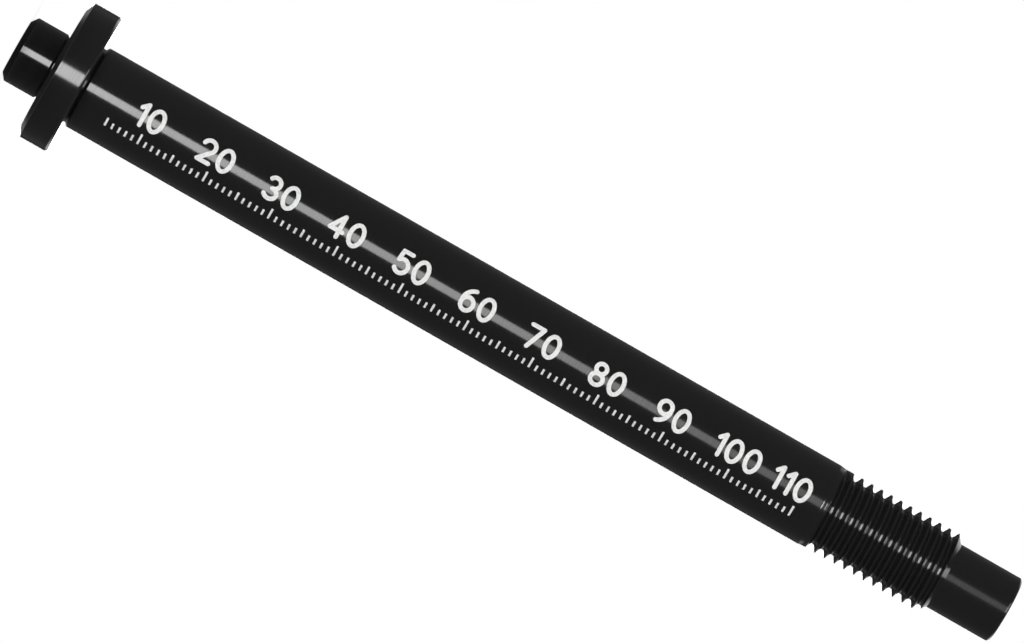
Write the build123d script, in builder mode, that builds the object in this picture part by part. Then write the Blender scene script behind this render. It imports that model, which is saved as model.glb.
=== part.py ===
"""A bicycle thru axle: one bar of aluminium, turned, threaded, bored and broached.

The axle stands on its head. The origin is the centre of the head's end face and +Z runs along
the axle, past the flange and the plain shaft, to the threaded end and its pilot nose.
Lengths are millimetres. Each length along the axle is stated by itself and added up once.
"""

import os
from math import ceil, cos, radians, sqrt, tan

from build123d import *

os.makedirs("parts", exist_ok=True)

# Plain shaft, the running diameter that passes through the hub, eased down to the thread's crests
shaft_d = 12.0
shaft_length = 113.75
shaft_taper = 0.55

# Head, a round boss that holds the key's socket
head_d = 9.6
head_length = 5.7
head_chamfer_radial = 0.95
head_chamfer_axial = 0.7

# Flange that bears on the frame
flange_d = 20.5
flange_thickness = 4.7
flange_chamfer_radial = 1.2
flange_chamfer_axial = 0.6
flange_edge = 0.35

# Undercuts in the corners on both sides of the flange. The one at the seat runs into the face too.
head_undercut_width = 0.45
head_undercut_depth = 0.25
seat_undercut_width = 0.55
seat_undercut_depth = 0.4
seat_undercut_face_width = 0.3
seat_undercut_face_depth = 0.15

# Right-hand screw thread of metric form. Its crests and flanks lie inside the basic form, so that it
# runs freely in its nut.
thread_pitch = 1.5
thread_length = 18.7
thread_allowance = 0.2
thread_flank_play = 0.08
thread_root_flat = 0.29
thread_lead = 0.87
thread_start_angle = 208.0
tool_overrun = 0.1

# Nose, the pilot that finds the thread in the frame
nose_d = 9.6
nose_length = 9.55
nose_edge = 0.28

# Hexagonal key socket, and the bore that lightens the axle from end to end
socket_across_flats = 6.0
socket_depth = 7.5
socket_lead_in = 0.25
bore_d = 5.6
bore_edge = 0.3

# Radii, and places along the axle worked out from the lengths above
head_r = head_d / 2
flange_r = flange_d / 2
shaft_r = shaft_d / 2
crest_r = shaft_r - thread_allowance / 2
nose_r = nose_d / 2
bore_r = bore_d / 2
socket_corner_r = socket_across_flats / 2 / cos(radians(30))
flange_start = head_length
flange_seat = flange_start + flange_thickness
thread_start = flange_seat + shaft_length
nose_start = thread_start + thread_length
overall_length = nose_start + nose_length

# Threading tool: a 60 degree point with its tip cut off to the width of the thread's root
flank_angle = radians(30)
sharp_height = thread_pitch * sqrt(3) / 2
point_r = shaft_r - sharp_height * 7 / 8 - thread_flank_play
root_half_width = thread_root_flat / 2
root_r = point_r + root_half_width / tan(flank_angle)
tool_r = crest_r + tool_overrun
tool_half_width = (tool_r - point_r) * tan(flank_angle)
first_groove = thread_start + tool_half_width
turns = ceil((nose_start + tool_half_width - first_groove) / thread_pitch)
exit_length = sqrt((shaft_r + tool_overrun) ** 2 - root_r**2)

# What the tool takes away in one turn. The groove is these turns end to end.
with BuildPart() as groove_turn:
    with BuildLine() as helix:
        Helix(thread_pitch, thread_pitch, root_r)
    with BuildSketch(Plane.XZ) as tool:
        with BuildLine():
            Polyline(
                (root_r, -root_half_width),
                (root_r, root_half_width),
                (tool_r, tool_half_width),
                (tool_r, -tool_half_width),
                close=True,
            )
        make_face()
    sweep(path=helix.line, is_frenet=True)

# Where the thread ends at the shaft, the tool leaves the metal along a straight line
with BuildPart() as groove_exit:
    extrude(tool.sketch, amount=exit_length, dir=-(helix.line % 0))

with BuildPart() as thru_axle:
    # Half of the section between the axis and the turned surface
    with BuildSketch(Plane.XZ):
        with BuildLine():
            Polyline(
                (0, 0),
                (head_r - head_chamfer_radial, 0),
                (head_r, head_chamfer_axial),
                (head_r, flange_start - head_undercut_width),
                (head_r - head_undercut_depth, flange_start - head_undercut_width / 2),
                (head_r - head_undercut_depth, flange_start),
                (flange_r - flange_chamfer_radial, flange_start),
                (flange_r, flange_start + flange_chamfer_axial),
                (flange_r, flange_seat - flange_edge),
                (flange_r - flange_edge, flange_seat),
                (shaft_r + seat_undercut_face_width, flange_seat),
                (shaft_r, flange_seat - seat_undercut_face_depth),
                (shaft_r - seat_undercut_depth, flange_seat - seat_undercut_face_depth),
                (shaft_r - seat_undercut_depth, flange_seat + seat_undercut_width / 3),
                (shaft_r, flange_seat + seat_undercut_width),
                (shaft_r, thread_start - shaft_taper),
                (crest_r, thread_start),
                (crest_r, nose_start - thread_lead),
                (nose_r, nose_start),
                (nose_r, overall_length - nose_edge),
                (nose_r - nose_edge, overall_length),
                (0, overall_length),
                close=True,
            )
        make_face()
    revolve(axis=Axis.Z)

    # Thread, cut turn by turn from the shaft to the open air over the nose
    with Locations((0, 0, first_groove)):
        add(groove_exit.part, rotation=(0, 0, thread_start_angle), mode=Mode.SUBTRACT)
    for turn in range(turns):
        with Locations((0, 0, first_groove + turn * thread_pitch)):
            add(groove_turn.part, rotation=(0, 0, thread_start_angle), mode=Mode.SUBTRACT)

    # Bore from the nose to the socket, with its mouth chamfered
    with BuildSketch(Plane.XZ):
        with BuildLine():
            Polyline(
                (0, socket_depth - bore_r),
                (bore_r, socket_depth - bore_r),
                (bore_r, overall_length - bore_edge),
                (bore_r + bore_edge, overall_length),
                (0, overall_length),
                close=True,
            )
        make_face()
    revolve(axis=Axis.Z, mode=Mode.SUBTRACT)

    # Key socket, with a cone at its mouth that leads the key's corners in
    with BuildSketch(Plane.XY):
        RegularPolygon(socket_across_flats / 2, 6, major_radius=False)
    extrude(amount=socket_depth, mode=Mode.SUBTRACT)
    with BuildSketch(Plane.XZ):
        with BuildLine():
            Polyline(
                (0, 0),
                (socket_corner_r + socket_lead_in, 0),
                (0, socket_corner_r + socket_lead_in),
                close=True,
            )
        make_face()
    revolve(axis=Axis.Z, mode=Mode.SUBTRACT)

thru_axle.part.label = "thru_axle"
export_step(thru_axle.part, "parts/thru_axle.step")
print("overall length", overall_length, "volume", thru_axle.part.volume, "valid", thru_axle.part.is_valid)
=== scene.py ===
# %% [markdown]
# # A bicycle thru axle, dressed in Blender
#
# The real object is one bar of aluminium. A lathe turned it, cut the screw thread and bored it. It
# was then anodised black, and a laser wrote its markings. The solid model already gives every size.
# Here the same shape is worked out again as one fine surface, so that its edges can be eased as on
# the real part and each turn of the thread stays clean from close by.
#
# This cell loads the solid model, which stands on its head with +Z along the axle. The finished
# surface has to stay inside that model's box.

# %% Load the solid model
from math import radians

import bmesh
import bpy
import numpy as np
from mathutils import Matrix, Vector


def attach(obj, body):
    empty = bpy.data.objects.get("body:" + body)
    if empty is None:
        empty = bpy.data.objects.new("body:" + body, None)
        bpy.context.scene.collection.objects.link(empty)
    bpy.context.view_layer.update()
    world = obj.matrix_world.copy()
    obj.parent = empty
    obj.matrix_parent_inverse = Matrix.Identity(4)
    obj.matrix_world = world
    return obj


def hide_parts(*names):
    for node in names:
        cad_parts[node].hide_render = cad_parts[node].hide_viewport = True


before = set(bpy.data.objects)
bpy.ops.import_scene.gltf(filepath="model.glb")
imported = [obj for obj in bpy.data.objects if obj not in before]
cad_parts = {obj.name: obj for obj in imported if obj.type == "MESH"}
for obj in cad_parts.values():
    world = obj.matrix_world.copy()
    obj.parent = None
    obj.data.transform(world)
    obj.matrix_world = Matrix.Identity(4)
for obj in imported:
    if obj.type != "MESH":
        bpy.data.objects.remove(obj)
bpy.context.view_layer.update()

# %% [markdown]
# ## The sizes
#
# The part's own numbers come first, in millimetres: radii, and distances from the head's end face.
# A surface that stands for a solid has to repeat its sizes exactly, and only the small easing of
# the edges is new. Real turned edges are broken by a few hundredths of a millimetre and anodising
# rounds them a little more, which is what catches a thin line of light. The bearings are degrees
# round the axle. The grid's seam lies at a bearing that puts a column on each corner of the key
# socket's hexagon.

# %% Sizes of the axle
SHAFT, NOSE, BORE = 6.0, 4.8, 2.8
THREAD_START, CHAMFER_START, NOSE_START, TIP = 124.15, 141.98, 142.85, 152.4
PITCH, CREST, ROOT, ROOT_HALF_WIDTH = 1.5, 5.9, 5.0345, 0.145
FIRST_GROOVE, START_BEARING = 124.8524, 208.0
SOCKET_DEPTH, SOCKET_HALF_FLATS, SOCKET_MOUTH = 7.5, 3.0, 3.714
NOSE_CHAMFER, BORE_CHAMFER = 0.28, 0.3
EDGE = 0.07

COLUMNS = 216
SEAM_BEARING = 180.0 - 5 * 360.0 / COLUMNS
turn = np.linspace(0.0, 1.0, COLUMNS + 1)
bearing = SEAM_BEARING + 360.0 * turn
print("one column every", round(360 / COLUMNS, 3), "degrees")

# %% [markdown]
# ## Easing the edges of a turned profile
#
# A turned part is one line, its profile, carried once round the axis. Blender could do that with a
# Screw modifier and a Bevel, but then the thread would have to be joined on afterwards. So the
# profile is kept as numbers, and every corner of it is replaced by a short curve.

# %% Ease the corners of a profile
def eased(corners, size, steps=4):
    """The profile with each inner corner replaced by a parabola.

    The parabola starts and ends `size` away from the corner, or 0.3 of the shorter side where that
    is less. Its formula is (1-s)^2 start + 2s(1-s) corner + s^2 end, for s from 0 to 1. One more
    point on each side, half as far on, keeps the shading of the long straight runs flat.
    """
    p = np.array(corners, float)
    step = np.diff(p, axis=0)
    length = np.hypot(step[:, 0], step[:, 1])
    unit = step / length[:, None]
    shorter = np.minimum(length[:-1], length[1:])
    reach = np.minimum(size, 0.3 * shorter)[:, None, None]
    s = np.linspace(0.0, 1.0, steps)[None, :, None]
    corner = p[1:-1, None, :]
    start = corner - reach * unit[:-1, None, :]
    end = corner + reach * unit[1:, None, :]
    curve = (1 - s) ** 2 * start + 2 * s * (1 - s) * corner + s**2 * end
    before = start - 0.5 * reach * unit[:-1, None, :]
    after = end + 0.5 * reach * unit[1:, None, :]
    eased_corners = np.concatenate([before, curve, after], axis=1).reshape(-1, 2)
    return np.vstack([p[:1], eased_corners, p[-1:]])


# %% [markdown]
# ## The head, the flange and the shaft
#
# From the head's end face the profile climbs over the head's chamfer, drops into a small undercut,
# runs out over the flange and its chamfer, and drops into the second undercut in the seat. The
# undercuts are there on the real part so that the corner of a frame never rides on a rounded inside
# corner. The shaft then tapers to the thread's crests. One more point near the end of that taper,
# on the same straight line, keeps its shading straight.

# %% Profile from the head to the thread
head_to_thread = eased(
    [
        # head's end face and chamfer
        (SOCKET_MOUTH, 0.0),
        (3.85, 0.0),
        (4.8, 0.7),
        # undercut between the head and the flange
        (4.8, 5.25),
        (4.55, 5.475),
        (4.55, 5.7),
        # flange, its chamfer and its seat
        (9.05, 5.7),
        (10.25, 6.3),
        (10.25, 10.05),
        (9.9, 10.4),
        # undercut in the seat and the shaft
        (6.3, 10.4),
        (SHAFT, 10.25),
        (5.6, 10.25),
        (5.6, 10.5833),
        (SHAFT, 10.95),
        # shaft, and its taper to the crests
        (SHAFT, 123.6),
        (5.9145, 124.07),
        (CREST, THREAD_START),
    ],
    size=EDGE,
)
nose_and_bore = eased(
    [
        (NOSE, NOSE_START),
        (NOSE, TIP - NOSE_CHAMFER),
        (NOSE - NOSE_CHAMFER, TIP),
        (BORE + BORE_CHAMFER, TIP),
        (BORE, TIP - BORE_CHAMFER),
        (BORE, SOCKET_DEPTH),
    ],
    size=EDGE,
)
print("profile points:", len(head_to_thread), "and", len(nose_and_bore))

# %% [markdown]
# ## The screw thread
#
# A lathe cuts a thread with one pointed tool that moves 1.5 mm along for each turn of the bar. So
# at any point of the blank, the radius left is the smaller of two: the blank's own, and that of
# the groove, which depends only on how far the point lies from the middle of the nearest groove.
# Where the thread starts, the tool is drawn out along a straight line, so the groove grows
# shallower there and fades. A worn tool point leaves the root slightly hollow, and that hollow is
# what gives each groove its own small gleam. A Screw modifier could sweep the groove's outline, but
# it knows nothing of the blank, so it could neither fade the groove nor cut the chamfer through it.

# %% Radius of the cut thread
ROOT_HOLLOW, HOLLOW_REACH = 0.6, 0.3
ROOT_EASE = 0.04
CREST_EASE = 0.03
LONGEST_EXIT = 60.0


def smaller_of(a, b, width):
    """The smaller of two, lowered by (width - difference)^2 / (4 width) where they are close."""
    return np.minimum(a, b) - np.maximum(width - np.abs(a - b), 0.0) ** 2 / (4 * width)


def groove_radius(bearing_deg, z):
    """Radius that the tool leaves at a bearing and a height.

    The distance d from the nearest groove's middle gives the depth: a hollow root of radius
    ROOT_HOLLOW, d^2 / (2 x radius), then a straight flank at 60 degrees to the axis, with the
    corner between them eased over ROOT_EASE. Before the start of the cut the root lies on a
    straight line, at ROOT / cos(angle before the start). That angle is held at LONGEST_EXIT
    degrees, by where the tool is long clear of the metal.
    """
    helix = FIRST_GROOVE + PITCH * (bearing_deg - START_BEARING) / 360.0
    nearest = np.round((z - helix) / PITCH)
    wound = bearing_deg - START_BEARING + 360.0 * nearest
    exit_angle = np.radians(np.clip(-wound, 0.0, LONGEST_EXIT))
    d = np.abs(z - helix - PITCH * nearest)
    hollow = np.minimum(d, HOLLOW_REACH) ** 2 / (2 * ROOT_HOLLOW)
    flank = (d - ROOT_HALF_WIDTH) * np.sqrt(3.0)
    larger = -smaller_of(-hollow, -flank, ROOT_EASE)
    return ROOT / np.cos(exit_angle) + larger


def thread_radius(bearing_deg, z):
    """The smaller of the blank's radius and the groove's, eased over CREST_EASE."""
    blank = np.interp(z, [CHAMFER_START, NOSE_START], [CREST, NOSE])
    return smaller_of(blank, groove_radius(bearing_deg, z), CREST_EASE)


# %% [markdown]
# ## Rows that follow the thread
#
# If the rows of the grid were level circles, they would cut across the slanting crests and leave
# them ragged. So these rows climb with the thread: each rises one pitch in one turn, and lies at
# the same place on every groove. The last column then meets the first one a pitch higher. Where a
# climbing row would leave its band it is held level at the band's end, and the points that fall
# together are welded later. The rows lie close where the groove bends, at its root and its crests:
# HALF_GROOVE is in millimetres from the middle of a groove to the middle of a crest. The bands where
# the thread begins and ends have more rows, because the cut changes there with the bearing.

# %% Rows for a band of thread
HALF_GROOVE = np.array([0.0, 0.08, 0.14, 0.17, 0.21, 0.61, 0.63, 0.645, 0.66, 0.69, 0.75])
GROOVE_ROWS = np.unique(np.concatenate([-HALF_GROOVE, HALF_GROOVE]))[1:]


def thread_band(low, high, more_rows=0):
    """Radius and height of climbing rows between two heights.

    Height = row + PITCH x turn, held between low and high. Radius = thread_radius there.
    """
    extra = np.linspace(-0.5, 0.5, more_rows, endpoint=False) * PITCH if more_rows else []
    in_one_pitch = np.unique(np.round(np.concatenate([GROOVE_ROWS, extra]), 6))
    seam_groove = FIRST_GROOVE + PITCH * (SEAM_BEARING - START_BEARING) / 360.0
    first = np.floor((low - PITCH - seam_groove) / PITCH) - 1
    last = np.ceil((high - seam_groove) / PITCH) + 1
    grooves = seam_groove + PITCH * np.arange(first, last + 1)
    rows = (grooves[:, None] + in_one_pitch[None, :]).ravel()
    z = np.clip(rows[:, None] + PITCH * turn[None, :], low, high)
    last_level_row = np.argmax(rows > low - PITCH) - 1
    z = z[(z.max(axis=1) > low) | (np.arange(len(z)) == last_level_row)]
    return thread_radius(bearing[None, :], z), z


FULL_FORM_FROM, FULL_FORM_TO = 125.6, 141.4
MORE_ROWS = 36
bands = [
    thread_band(THREAD_START, FULL_FORM_FROM, MORE_ROWS),
    thread_band(FULL_FORM_FROM, FULL_FORM_TO),
    thread_band(FULL_FORM_TO, CHAMFER_START, MORE_ROWS),
    thread_band(CHAMFER_START, NOSE_START, MORE_ROWS),
]
print("thread rows:", [len(z) for radius, z in bands])

# %% [markdown]
# ## The key socket
#
# The hexagon was pushed through by a broach, so its walls are flat and its corners sharp. It could
# be cut with a Boolean modifier, which would leave long thin triangles. But a hexagon in polar form
# is a simple formula: its radius is half its width across the flats, over the cosine of the angle
# from the middle of a flat. So it can use the same columns as the round rows, as long as its six
# corners fall on columns. The cone at its mouth is deeper over the flats than over the corners,
# which leaves the six small arcs that such a socket shows.

# %% Rows of the key socket
CLEAR_OF_CONE = 0.9
ring = np.ones_like(bearing)
from_flat = np.radians(np.mod(bearing, 60.0) - 30.0)
hexagon = SOCKET_HALF_FLATS / np.cos(from_flat)
socket_radius = np.stack([hexagon, hexagon, hexagon, SOCKET_MOUTH * ring])
socket_z = np.stack(
    [SOCKET_DEPTH * ring, CLEAR_OF_CONE * ring, SOCKET_MOUTH - hexagon, 0 * ring]
)
print("hexagon across corners:", round(2 * hexagon.max(), 3), "mm")

# %% [markdown]
# ## One closed surface
#
# All the rows together form one grid that runs along the outside, in through the nose's bore, out
# through the key socket and back to where it began. It has no poles. Welding the points that
# fall together closes the seam of the thread as well as that of the plain rows.

# %% Build the axle's mesh
SHARP_FROM = radians(32)


def level_rows(profile):
    """Rows of constant radius and height, one for each point of a profile."""
    return profile[:, :1] * ring[None, :], profile[:, 1:] * ring[None, :]


def grid_faces(rows, columns):
    """Four corners of every cell, in the order that makes the outside face outwards."""
    index = np.arange(rows * columns).reshape(rows, columns)
    a, b = index[:-1, :-1], index[:-1, 1:]
    c, d = index[1:, 1:], index[1:, :-1]
    return np.stack([a, b, c, d], axis=-1).reshape(-1, 4)


def mesh_object(name, points_mm, faces, weld_mm=0.0005):
    """A mesh object from whole arrays of points and faces, with doubled points welded."""
    mesh = bpy.data.meshes.new(name)
    mesh.from_pydata((points_mm / 1000.0).tolist(), [], faces.tolist())
    work = bmesh.new()
    work.from_mesh(mesh)
    bmesh.ops.remove_doubles(work, verts=work.verts, dist=weld_mm / 1000.0)
    open_edges = sum(1 for edge in work.edges if len(edge.link_faces) != 2)
    work.to_mesh(mesh)
    work.free()
    mesh.validate()
    mesh.shade_smooth()
    mesh.set_sharp_from_angle(angle=SHARP_FROM)
    piece = bpy.data.objects.new(name, mesh)
    bpy.context.scene.collection.objects.link(piece)
    triangles = sum(len(p.vertices) - 2 for p in mesh.polygons)
    print(name, "triangles:", triangles, "open edges:", open_edges)
    return piece


parts = [level_rows(head_to_thread), *bands, level_rows(nose_and_bore)]
parts.append((socket_radius, socket_z))
radius = np.vstack([r for r, z in parts])
height = np.vstack([z for r, z in parts])
angle = np.radians(np.where(turn < 1.0, bearing, SEAM_BEARING))[None, :]
axle_points = np.stack([radius * np.cos(angle), radius * np.sin(angle), height], axis=-1)
axle = mesh_object("axle", axle_points.reshape(-1, 3), grid_faces(*radius.shape))
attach(axle, "root")
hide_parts("thru_axle")

# %% [markdown]
# ## Helpers for materials
#
# Colours are written as the hex values that a picture shows, and one function turns them into the
# linear values that Cycles works with. Another adds a node, sets it and links it, so that a material
# reads as a short list. Two more are short forms for the nodes used most: one for arithmetic, and
# one that maps a range of values to another.

# %% Colour and node helpers
def linear(hex_colour):
    """sRGB hex to linear: (c + 0.055) / 1.055 to the power 2.4, or c / 12.92 near black."""
    c = np.array([int(hex_colour[i : i + 2], 16) / 255.0 for i in (1, 3, 5)])
    c = np.where(c > 0.04045, ((c + 0.055) / 1.055) ** 2.4, c / 12.92)
    return (*c.tolist(), 1.0)


def node(tree, kind, settings=None, links=None, **inputs):
    """Adds a node. settings are its own properties, inputs its values, links its incoming wires."""
    made = tree.nodes.new(kind)
    for name, value in (settings or {}).items():
        setattr(made, name, value)
    for name, value in inputs.items():
        made.inputs[name.replace("_", " ")].default_value = value
    for name, source in (links or {}).items():
        tree.links.new(source, made.inputs[name])
    return made


def combine(tree, operation, first, second):
    """Result of a Math node. first is a wire, and second is a wire or a number."""
    made = node(tree, "ShaderNodeMath", {"operation": operation}, {0: first})
    if isinstance(second, float):
        made.inputs[1].default_value = second
    else:
        tree.links.new(second, made.inputs[1])
    return made.outputs["Value"]


def ramp(tree, wire, smooth=False, **limits):
    """Result of a Map Range node: From_Min to From_Max becomes To_Min to To_Max."""
    kind = {"interpolation_type": "SMOOTHSTEP" if smooth else "LINEAR"}
    return node(tree, "ShaderNodeMapRange", kind, {"Value": wire}, **limits).outputs["Result"]


def new_material(name):
    """An empty node material and its tree."""
    material = bpy.data.materials.new(name)
    material.use_nodes = True
    material.node_tree.nodes.clear()
    return material, material.node_tree


# %% [markdown]
# ## Black anodised aluminium, fine turned
#
# Anodising grows a thin clear oxide on the bare metal, and the dye sits in it. So what the eye sees
# is no longer bare metal. It is a deep neutral black with a clear highlight on top, and it is made
# without the Metallic setting, with the oxide's own IOR of about 1.65. The oxide copies the turned
# surface below it, and that makes the highlight crisp but not perfect.
#
# The turning marks are rings about 0.05 mm apart. That is finer than one pixel of this render, so
# they are drawn about 0.25 mm apart and very shallow. The pattern is a noise of the height and of
# the distance from the axis, so it rings the flat faces of the flange as well as the shaft, and it
# changes only slowly round the axle. It sets the gloss a little as well as the relief.

# %% Material of the axle
RINGS_PER_M = 4000.0
ROUND_PER_M = 60.0
black_anodised, tree = new_material("black_anodised_aluminium_fine_turned")
place = node(tree, "ShaderNodeTexCoord")
stretch = node(
    tree,
    "ShaderNodeMapping",
    links={"Vector": place.outputs["Object"]},
    Scale=(ROUND_PER_M, ROUND_PER_M, RINGS_PER_M),
)
across_axle = node(
    tree, "ShaderNodeVectorMath", {"operation": "MULTIPLY"}, {0: place.outputs["Object"]}
)
across_axle.inputs[1].default_value = (1.0, 1.0, 0.0)
from_axis = node(
    tree, "ShaderNodeVectorMath", {"operation": "LENGTH"}, {0: across_axle.outputs["Vector"]}
)
rings = node(
    tree,
    "ShaderNodeVectorMath",
    {"operation": "MULTIPLY_ADD"},
    {0: from_axis.outputs["Value"], 2: stretch.outputs["Vector"]},
)
rings.inputs[1].default_value = (RINGS_PER_M, 0.0, 0.0)
turning_marks = node(
    tree,
    "ShaderNodeTexNoise",
    links={"Vector": rings.outputs["Vector"]},
    Scale=1.0,
    Detail=3.0,
    Roughness=0.6,
)
marks = turning_marks.outputs["Fac"]
marks_gloss = ramp(tree, marks, From_Min=0.3, From_Max=0.7, To_Min=0.11, To_Max=0.13)
marks_relief = node(
    tree,
    "ShaderNodeBump",
    links={"Height": marks},
    Strength=0.2,
    Distance=0.00002,
)
anodised = node(
    tree,
    "ShaderNodeBsdfPrincipled",
    links={"Normal": marks_relief.outputs["Normal"], "Roughness": marks_gloss},
    Base_Color=linear("#1e1e1f"),
    IOR=1.65,
)
node(tree, "ShaderNodeOutputMaterial", links={"Surface": anodised.outputs["BSDF"]})
axle.data.materials.append(black_anodised)
print("rings every", 1000 / RINGS_PER_M, "mm, in", len(tree.nodes), "nodes")

# %% [markdown]
# ## The markings
#
# A laser bleaches the dye out of the oxide and leaves a matt white line that is level with the
# surface. The axle is marked with a plain scale in millimetres, counted from the flange's seat. A
# font could give the numerals, but each one is drawn as an engraver would, by a few round-ended
# strokes of constant width. So a stroke is a flat ribbon, carried along a path and then wrapped on
# the shaft. The paths are in units of the numeral's height. A path that meets itself makes a ring.

# %% Strokes of the numerals
def arc(cx, cy, rx, ry, start, end, points=24):
    """Points on an ellipse: centre + (rx cos a, ry sin a), for a from start to end in degrees."""
    a = np.radians(np.linspace(start, end, points))
    return np.stack([cx + rx * np.cos(a), cy + ry * np.sin(a)], axis=-1)


def path(*pieces):
    """Pieces of a stroke joined end to end, then spaced evenly along their length.

    There is a point every 0.06 of the numeral's height, and at least 8 points.
    """
    p = np.vstack([np.atleast_2d(piece) for piece in pieces]).astype(float)
    p = p[np.concatenate([[True], np.hypot(*np.diff(p, axis=0).T) > 1e-6])]
    run = np.concatenate([[0.0], np.cumsum(np.hypot(*np.diff(p, axis=0).T))])
    even = np.linspace(0.0, run[-1], max(8, int(run[-1] / 0.06)))
    return np.stack([np.interp(even, run, p[:, 0]), np.interp(even, run, p[:, 1])], axis=-1)


NUMERALS = {
    "0": [path(arc(0.3, 0.5, 0.3, 0.5, 90, 450, 49))],
    "1": [path((0.0, 0.76), (0.24, 1.0)), path((0.24, 1.0), (0.24, 0.0))],
    "2": [path(arc(0.3, 0.71, 0.29, 0.29, 165, -35), (0.02, 0.0)), path((0.02, 0.0), (0.6, 0.0))],
    "3": [path(arc(0.28, 0.74, 0.26, 0.26, 150, -90)), path(arc(0.28, 0.24, 0.3, 0.24, 90, -150))],
    "4": [
        path((0.46, 0.0), (0.46, 1.0)),
        path((0.46, 1.0), (0.0, 0.3)),
        path((0.0, 0.3), (0.62, 0.3)),
    ],
    "5": [
        path((0.54, 1.0), (0.1, 1.0)),
        path((0.1, 1.0), (0.05, 0.55)),
        path((0.05, 0.55), arc(0.28, 0.32, 0.31, 0.32, 125, -145)),
    ],
    "6": [path(arc(0.31, 0.31, 0.29, 0.31, 0, 360, 49)), path(arc(0.62, 0.42, 0.6, 0.6, 105, 175))],
    "7": [path((0.02, 1.0), (0.6, 1.0)), path((0.6, 1.0), (0.2, 0.0))],
    "8": [
        path(arc(0.3, 0.76, 0.24, 0.24, 0, 360, 49)),
        path(arc(0.3, 0.26, 0.29, 0.26, 0, 360, 49)),
    ],
    "9": [path(arc(0.29, 0.69, 0.29, 0.31, 0, 360, 49)), path(arc(-0.02, 0.58, 0.6, 0.6, 5, -75))],
}
print("numerals drawn:", "".join(sorted(NUMERALS)))

# %% [markdown]
# ## Wrapping the strokes on the shaft
#
# A stroke becomes a thin closed slab. Its left and right sides lie half a width off the path, its
# floor lies just under the metal and its top just over it. Wrapping turns the distance across the
# scale into an angle round the shaft, so that nothing is stretched. The strokes of one numeral
# cross, so each top lies a few thousandths of a millimetre over the one before: two tops at one
# height would flicker where they cross.

# %% Ribbons on the shaft
SCALE_BEARING = 270.0
FACE = SHAFT + 0.01
UNDER = SHAFT - 0.05
LAYER = 0.003


def wrapped(along, across, radius_mm):
    """Point on the shaft: bearing = SCALE_BEARING - across / SHAFT, height = along."""
    a = radians(SCALE_BEARING) - across / SHAFT
    return np.stack([radius_mm * np.cos(a), radius_mm * np.sin(a), along], axis=-1)


def heading_of(stroke, closed):
    """Unit direction of a stroke at each point, from the points before and after it."""
    if closed:
        step = np.roll(stroke, -1, axis=0) - np.roll(stroke, 1, axis=0)
    else:
        step = np.gradient(stroke, axis=0)
    return step / np.hypot(step[:, 0], step[:, 1])[:, None]


def round_off(stroke, heading, half):
    """The stroke carried on by half a width past each end, narrowing there as sqrt(1 - s^2).

    It stops narrowing at a twentieth of the width, because the slab can't end in one point.
    """
    s = np.sin(np.linspace(0.0, np.pi / 2, 7))[1:]
    start = stroke[0] - heading[0] * half * s[::-1, None]
    end = stroke[-1] + heading[-1] * half * s[:, None]
    narrow = half * np.sqrt(np.maximum(1 - s**2, 0.003))
    widths = np.concatenate([narrow[::-1], np.full(len(stroke), half), narrow])
    heading = np.vstack([[heading[0]] * len(s), heading, [heading[-1]] * len(s)])
    return np.vstack([start, stroke, end]), heading, widths


def ribbon(stroke, width, rounded=True, layer=0):
    """A closed slab along a stroke: points and faces.

    Each side lies at stroke +- width / 2 along the stroke's normal. A stroke that ends where it
    starts becomes a ring, and any other has its ends rounded off or left square. The top lies
    LAYER x layer higher.
    """
    half = width / 2
    closed = bool(np.hypot(*(stroke[0] - stroke[-1])) < 1e-6)
    if closed:
        stroke = stroke[:-1]
    heading = heading_of(stroke, closed)
    widths = np.full(len(stroke), half)
    if rounded and not closed:
        stroke, heading, widths = round_off(stroke, heading, half)
    normal = np.stack([-heading[:, 1], heading[:, 0]], axis=-1) * widths[:, None]
    left, right = stroke + normal, stroke - normal
    top = FACE + LAYER * layer
    points = np.stack(
        [
            wrapped(left[:, 0], left[:, 1], top),
            wrapped(left[:, 0], left[:, 1], UNDER),
            wrapped(right[:, 0], right[:, 1], UNDER),
            wrapped(right[:, 0], right[:, 1], top),
            wrapped(stroke[:, 0], stroke[:, 1], top),
        ]
    )
    index = np.arange(5 * len(stroke)).reshape(5, -1)
    around = np.vstack([index, index[:1]])
    if closed:
        around = np.hstack([around, around[:, :1]])
    a, b = around[:-1, :-1], around[:-1, 1:]
    c, d = around[1:, 1:], around[1:, :-1]
    faces = np.stack([a, b, c, d], axis=-1).reshape(-1, 4).tolist()
    if not closed:
        faces += [index[:, 0].tolist(), index[::-1, -1].tolist()]
    return points.reshape(-1, 3), faces


# %% [markdown]
# ## The scale
#
# A line stands at every millimetre, a longer one at every fifth, and the longest at every tenth,
# with its numeral beside it. The numerals read along the axle from the flange to the thread. The
# last one stands a little before its line, as on a steel rule, to keep clear of the thread. Lengths
# are millimetres, and the foot of a line or numeral is its distance across from SCALE_BEARING. An
# array modifier could repeat the lines, but their three lengths and the numerals differ from place
# to place, so a loop is plainer.

# %% Place the scale's lines and numerals
SEAT = 10.4
FIRST, LAST = 5, 110
LINE_FOOT, LINE_WIDTH = -3.5, 0.3
EACH_LINE, FIFTH_LINE, TENTH_LINE = 0.9, 1.25, 1.6
POINTS_IN_LINE = 8
NUMERAL_FOOT, NUMERAL_SIZE, STROKE_WIDTH = -0.95, 3.0, 0.6
NUMERAL_GAP = 0.32
LAST_SHIFT = -1.7


def widest(numeral):
    """Width of a numeral in units of its height."""
    return max(stroke[:, 0].max() for stroke in NUMERALS[numeral])


def line_length(millimetre):
    """The longest line at each ten, a longer one at each five."""
    if millimetre % 10 == 0:
        return TENTH_LINE
    return FIFTH_LINE if millimetre % 5 == 0 else EACH_LINE


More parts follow.
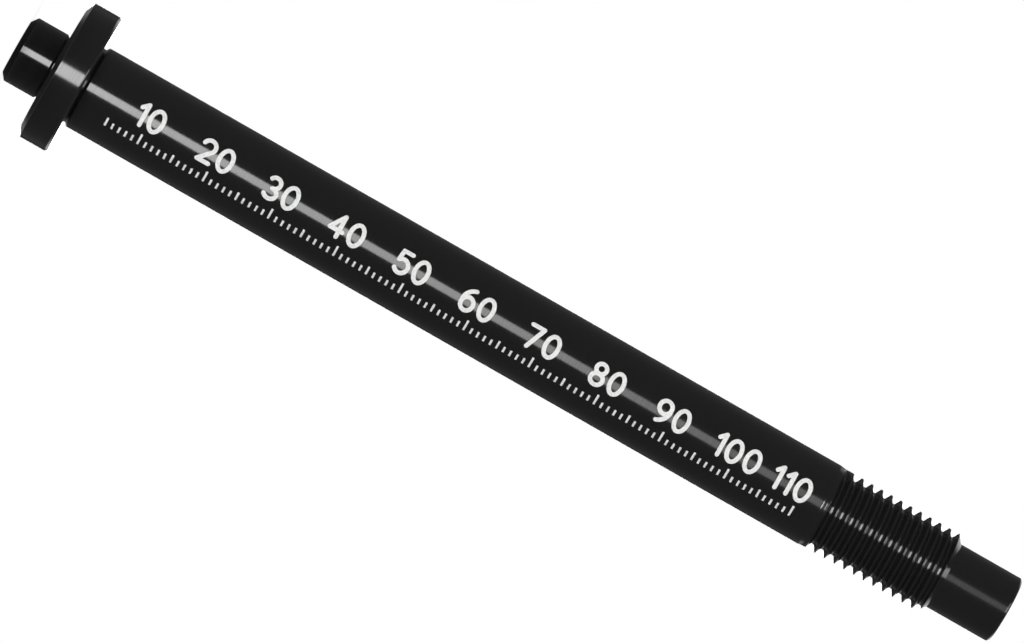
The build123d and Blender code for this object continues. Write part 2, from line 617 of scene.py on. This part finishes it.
strokes = []
for millimetre in range(FIRST, LAST + 1):
    across = np.linspace(LINE_FOOT, LINE_FOOT + line_length(millimetre), POINTS_IN_LINE)
    line = np.stack([np.full(POINTS_IN_LINE, SEAT + millimetre), across], axis=-1)
    strokes.append((line, LINE_WIDTH, False, 0))
for ten in range(10, LAST + 1, 10):
    text = str(ten)
    text_width = sum(widest(numeral) for numeral in text) + NUMERAL_GAP * (len(text) - 1)
    left = SEAT + ten - text_width * NUMERAL_SIZE / 2 + (LAST_SHIFT if ten == LAST else 0.0)
    for numeral in text:
        for layer, stroke in enumerate(NUMERALS[numeral]):
            moved = stroke * NUMERAL_SIZE + (left, NUMERAL_FOOT)
            strokes.append((moved, STROKE_WIDTH, True, layer))
        left += (widest(numeral) + NUMERAL_GAP) * NUMERAL_SIZE
print("strokes:", len(strokes))

# %% [markdown]
# ## One mesh for the whole scale
#
# All the marks are written in one go, so their slabs go into one mesh that rides with the axle.
# They could be cut into the axle's surface instead, but a laser takes no metal away: only the colour
# differs. Blender then turns every slab's faces outwards.

# %% Build the scale
points, faces, total = [], [], 0
for stroke, width, rounded, layer in strokes:
    p, f = ribbon(stroke, width, rounded, layer)
    points.append(p)
    faces += [[i + total for i in face] for face in f]
    total += len(p)
scale_mesh = bpy.data.meshes.new("scale")
scale_mesh.from_pydata((np.vstack(points) / 1000.0).tolist(), [], faces)
scale = bpy.data.objects.new("scale", scale_mesh)
bpy.context.scene.collection.objects.link(scale)
work = bmesh.new()
work.from_mesh(scale_mesh)
bmesh.ops.recalc_face_normals(work, faces=work.faces)
work.to_mesh(scale_mesh)
work.free()
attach(scale, "root")
print("scale faces:", len(faces))

# %% [markdown]
# ## White laser marking
#
# Bleached oxide scatters light evenly, so it is a matt white with hardly any gloss. It is nearly as
# white as paper, and its edges are sharp. The laser writes in passes about 0.05 mm apart, which
# leaves the white a little uneven. That is too fine for this render, so the unevenness is drawn
# about 0.3 mm wide.

# %% Material of the scale
laser_white, tree = new_material("white_laser_marking")
place = node(tree, "ShaderNodeTexCoord")
passes = node(
    tree,
    "ShaderNodeTexNoise",
    links={"Vector": place.outputs["Object"]},
    Scale=3000.0,
    Detail=2.0,
)
whites = node(tree, "ShaderNodeValToRGB", links={"Fac": passes.outputs["Fac"]})
shades = ((0.3, "#dededc"), (0.7, "#f4f4f2"))
for end_of_ramp, (position, colour) in zip(whites.color_ramp.elements, shades):
    end_of_ramp.position = position
    end_of_ramp.color = linear(colour)
bleached = node(
    tree,
    "ShaderNodeBsdfPrincipled",
    links={"Base Color": whites.outputs["Color"]},
    Roughness=0.6,
    IOR=1.5,
)
node(tree, "ShaderNodeOutputMaterial", links={"Surface": bleached.outputs["BSDF"]})
scale.data.materials.append(laser_white)
print("scale's whites:", [colour for position, colour in shades])

# %% [markdown]
# ## The floor
#
# The axle stands on a plain floor. A wide white one would suit the camera, but a black finish would
# mirror it all along its lower side. So this one is a small disc, just under the head's end face.
# It ends where the white room takes over, and that works only if the two are equally white.

# %% Build the floor
FLOOR_RADIUS = 0.03
FLOOR_DROP = 0.00002
RIM_POINTS = 96
around = np.linspace(0.0, 2 * np.pi, RIM_POINTS, endpoint=False)
rim = np.stack([np.cos(around), np.sin(around), 0 * around], axis=-1) * FLOOR_RADIUS
floor_mesh = bpy.data.meshes.new("floor")
floor_mesh.from_pydata((rim - (0, 0, FLOOR_DROP)).tolist(), [], [list(range(RIM_POINTS))])
floor = bpy.data.objects.new("floor", floor_mesh)
bpy.context.scene.collection.objects.link(floor)
print("floor, mm across:", 2000 * FLOOR_RADIUS)

# %% [markdown]
# ## White for the camera, and weaker in reflections
#
# The floor's own colour is a light grey, and for the camera it adds a glow that makes it white, so
# that it meets the white room without a line and still takes the axle's shadow. Rays that have
# bounced off the axle see a weaker glow. That glow fades out close to the axle as painted shade,
# standing in for the shade the head casts on the floor below it, which a glow alone knows nothing
# of. It fades again before the floor's rim, so that no reflection ends at a hard edge.

# %% Material of the floor
FLOOR_GLOW = 0.9
MIRRORED_SHARE = 0.25
white_floor, tree = new_material("white_studio_floor")
rays = node(tree, "ShaderNodeLightPath").outputs
mirrored = combine(tree, "MAXIMUM", rays["Is Glossy Ray"], rays["Is Transmission Ray"])
place = node(tree, "ShaderNodeTexCoord")
from_axle = node(
    tree, "ShaderNodeVectorMath", {"operation": "LENGTH"}, {0: place.outputs["Object"]}
).outputs["Value"]
# painted shade: in reflections the floor's glow fades out near the axle, where the head shades it
clear_of_head = ramp(
    tree, from_axle, smooth=True, From_Min=0.008, From_Max=0.018, To_Max=MIRRORED_SHARE
)
short_of_rim = ramp(
    tree, from_axle, smooth=True, From_Min=0.012, From_Max=FLOOR_RADIUS, To_Min=1.0, To_Max=0.0
)
painted_shade_and_rim_fade = combine(tree, "MULTIPLY", clear_of_head, short_of_rim)
open_floor = combine(tree, "MULTIPLY", mirrored, painted_shade_and_rim_fade)
seen = combine(tree, "MAXIMUM", rays["Is Camera Ray"], open_floor)
glow_level = combine(tree, "MULTIPLY", seen, FLOOR_GLOW)
matt = node(tree, "ShaderNodeBsdfDiffuse", Color=linear("#a6a6a6"))
glow = node(tree, "ShaderNodeEmission", links={"Strength": glow_level})
both = node(
    tree, "ShaderNodeAddShader", links={0: matt.outputs["BSDF"], 1: glow.outputs["Emission"]}
)
node(tree, "ShaderNodeOutputMaterial", links={"Surface": both.outputs["Shader"]})
floor.data.materials.append(white_floor)
print("floor's nodes:", len(tree.nodes))

# %% [markdown]
# ## The room
#
# The camera sees plain white all round. What the axle itself sees is a dim room, a little lighter
# towards the back, with the white backdrop behind and above it. A plain white room would be simpler,
# but a black finish shows whatever it reflects, so it would turn grey. Low down, the far end of the
# room is dimmer again, which keeps the outlines dark against the white. Directions are unit vectors
# from the axle: their Y points away from the camera and their Z points up the axle.

# %% Build the room
room = bpy.data.worlds.new("studio_room")
bpy.context.scene.world = room
room.use_nodes = True
tree = room.node_tree
tree.nodes.clear()
rays = node(tree, "ShaderNodeLightPath").outputs
direction = node(tree, "ShaderNodeTexCoord")
towards = node(
    tree, "ShaderNodeSeparateXYZ", links={"Vector": direction.outputs["Generated"]}
).outputs
behind = ramp(tree, towards["Y"], smooth=True, From_Min=0.55, From_Max=0.8)
overhead = ramp(tree, towards["Z"], smooth=True, From_Min=0.08, From_Max=0.3)
sweep = combine(tree, "MULTIPLY", behind, overhead)
mirrored = combine(tree, "MAXIMUM", rays["Is Glossy Ray"], rays["Is Transmission Ray"])
backdrop = combine(tree, "MULTIPLY", mirrored, sweep)
white_share = combine(tree, "MAXIMUM", rays["Is Camera Ray"], backdrop)
wall_level = ramp(tree, towards["Y"], From_Min=-0.8, From_Max=0.8, To_Min=0.02, To_Max=0.125)
far_end = ramp(
    tree, towards["Y"], smooth=True, From_Min=0.8, From_Max=0.97, To_Min=1.0, To_Max=0.4
)
dimmed = combine(tree, "MULTIPLY", wall_level, far_end)
room_level = node(
    tree, "ShaderNodeMix", {"data_type": "FLOAT"}, {0: white_share, 2: dimmed}
)
room_level.inputs[3].default_value = 1.0
walls = node(
    tree,
    "ShaderNodeBackground",
    links={"Strength": room_level.outputs[0]},
    Color=(1.0, 1.0, 1.0, 1.0),
)
node(tree, "ShaderNodeOutputWorld", links={"Surface": walls.outputs["Background"]})
print("room's nodes:", len(tree.nodes))

# %% [markdown]
# ## The lamps
#
# A round black bar shows a lamp as one bright line, and the line's width is set by how wide the
# lamp looks from the bar. An area lamp glows evenly, so these softboxes are sheets with a glow that
# can change along their height. The key is a tall one beside the camera, about 20 degrees wide,
# with its hot end towards the head, so that the line is brightest there and dies away towards the
# thread. Its lower end and a second box above it lie beyond the line, and gleam in the hollow roots
# of the thread and on the edges. A softbox behind the axle gives form to the other side. The key
# and the back softbox each have a foot that only reflections see, so that the line runs on where
# the axle is looked at from above.

# %% The softboxes
def softbox(name, centre, width, levels, mirror_only=False):
    """A glowing sheet that stands upright and faces the axle.

    The glow runs along its height through `levels`, pairs of height in metres and strength. They
    are points of a Float Curve node, which has two to begin with, for the two ends. With
    mirror_only the sheet shows in reflections and adds no light of its own.
    """
    centre = Vector(centre)
    facing = Vector((-centre.x, -centre.y, 0.0)).normalized()
    side = facing.cross(Vector((0, 0, 1)))
    low, high = levels[0][0], levels[-1][0]
    corners = [
        centre - side * width / 2 + Vector((0, 0, low)),
        centre + side * width / 2 + Vector((0, 0, low)),
        centre + side * width / 2 + Vector((0, 0, high)),
        centre - side * width / 2 + Vector((0, 0, high)),
    ]
    sheet = bpy.data.meshes.new(name)
    sheet.from_pydata([tuple(c) for c in corners], [], [[0, 1, 2, 3]])
    lamp = bpy.data.objects.new(name, sheet)
    bpy.context.scene.collection.objects.link(lamp)
    lamp.visible_camera = False
    lamp.visible_diffuse = not mirror_only
    material, tree = new_material(name + "_glow")
    place = node(tree, "ShaderNodeTexCoord")
    split = node(tree, "ShaderNodeSeparateXYZ", links={"Vector": place.outputs["Object"]})
    share = ramp(tree, split.outputs["Z"], From_Min=low, From_Max=high)
    curve = node(tree, "ShaderNodeFloatCurve", links={"Value": share})
    peak = max(level for z, level in levels)
    points_on_curve = curve.mapping.curves[0].points
    ends = [levels[0], levels[-1]]
    for point, (z, level) in zip(list(points_on_curve), ends):
        point.location = ((z - low) / (high - low), level / peak)
    for z, level in levels[1:-1]:
        points_on_curve.new((z - low) / (high - low), level / peak)
    for point in points_on_curve:
        point.handle_type = "VECTOR"
    curve.mapping.update()
    strength = combine(tree, "MULTIPLY", curve.outputs["Value"], peak)
    glow = node(tree, "ShaderNodeEmission", links={"Strength": strength})
    node(tree, "ShaderNodeOutputMaterial", links={"Surface": glow.outputs["Emission"]})
    sheet.materials.append(material)
    return lamp


KEY_PLACE = ((-0.066, -1.0, 0.0), 0.345)
BACK_PLACE = ((0.0, 1.0, 0.0), 0.16)
KEY_LEVELS = [
    (-0.45, 12.0),
    (-0.06, 12.0),
    (-0.02, 8.4),
    (0.004, 5.9),
    (0.07, 5.1),
    (0.1, 4.4),
    (0.127, 3.4),
    (0.145, 2.0),
    (0.165, 1.5),
    (0.2, 1.25),
    (0.232, 0.5),
    (0.25, 0.05),
    (0.3, 0.05),
]
UPPER_LEVELS = [(0.33, 14.0), (0.42, 15.0), (0.52, 14.0)]
KEY_FOOT_LEVELS = [(-2.2, 5.0), (-1.0, 7.0), (-0.45, 9.0)]
BACK_LEVELS = [(-0.2, 4.0), (0.1, 5.3), (0.4, 4.0)]
BACK_FOOT_LEVELS = [(-2.2, 3.0), (-1.0, 4.0), (-0.2, 4.0)]
softboxes = [
    softbox("key_softbox", *KEY_PLACE, KEY_LEVELS),
    softbox("upper_softbox", *KEY_PLACE, UPPER_LEVELS),
    softbox("key_foot", *KEY_PLACE, KEY_FOOT_LEVELS, mirror_only=True),
    softbox("back_softbox", *BACK_PLACE, BACK_LEVELS),
    softbox("back_foot", *BACK_PLACE, BACK_FOOT_LEVELS, mirror_only=True),
]
print("softboxes:", [lamp.name for lamp in softboxes])

# %% [markdown]
# ## The lamp over the tip
#
# The softboxes stand upright, so they leave the level faces dark. One round lamp high over the tip
# lights the tip's end face, the seat and the floor. Its glow can be even, so it is an ordinary area
# lamp, which Cycles samples with less noise than a glowing sheet.

# %% Add the lamp over the tip
tip_light = bpy.data.lights.new("tip_lamp", "AREA")
tip_light.shape = "DISK"
tip_light.size = 0.3
tip_light.energy = 2.0
tip_lamp = bpy.data.objects.new("tip_lamp", tip_light)
tip_lamp.location = (-0.1, -0.25, 0.75)
middle_of_axle = Vector((0, 0, 0.08))
tip_lamp.rotation_mode = "QUATERNION"
tip_lamp.rotation_quaternion = (tip_lamp.location - middle_of_axle).to_track_quat("Z", "Y")
bpy.context.scene.collection.objects.link(tip_lamp)
print("tip lamp:", tip_light.energy, "W")

# %% [markdown]
# ## The camera
#
# The picture shows the axle from the side and far off, so a long lens is right. The axle runs
# 29.7 degrees below level, from the head at the upper left to the tip at the lower right, so the
# camera is rolled and not the axle: its right and up directions are given in the axle's own axes.
# A constraint could aim it, but it would not roll it. FRAME_WIDTH is how many metres the picture
# spans at the axle, and together with the distance it gives the lens.

# %% Build the camera
SENSOR = 36.0
FRAME_WIDTH = 0.13706
SLANT = radians(29.6947)
aim = Vector((-0.000897, 0.0, 0.07568))
lens_at = Vector((-0.000897, -1.3, 0.032))
back_to_lens = (lens_at - aim).normalized()
DISTANCE = (lens_at - aim).length
right_if_square = Vector((-np.sin(SLANT), 0.0, np.cos(SLANT)))
up = back_to_lens.cross(right_if_square).normalized()
right = up.cross(back_to_lens).normalized()
camera_data = bpy.data.cameras.new("camera")
camera_data.type = "PERSP"
camera_data.sensor_width = SENSOR
camera_data.lens = SENSOR * DISTANCE / FRAME_WIDTH
camera_data.clip_start = 0.05
camera_data.clip_end = 20.0
camera = bpy.data.objects.new("camera", camera_data)
bpy.context.scene.collection.objects.link(camera)
turned = Matrix((right, up, back_to_lens)).transposed().to_4x4()
camera.matrix_world = Matrix.Translation(lens_at) @ turned
bpy.context.scene.camera = camera
bpy.context.scene.view_settings.view_transform = "Standard"
print("lens:", round(camera_data.lens, 1), "mm")
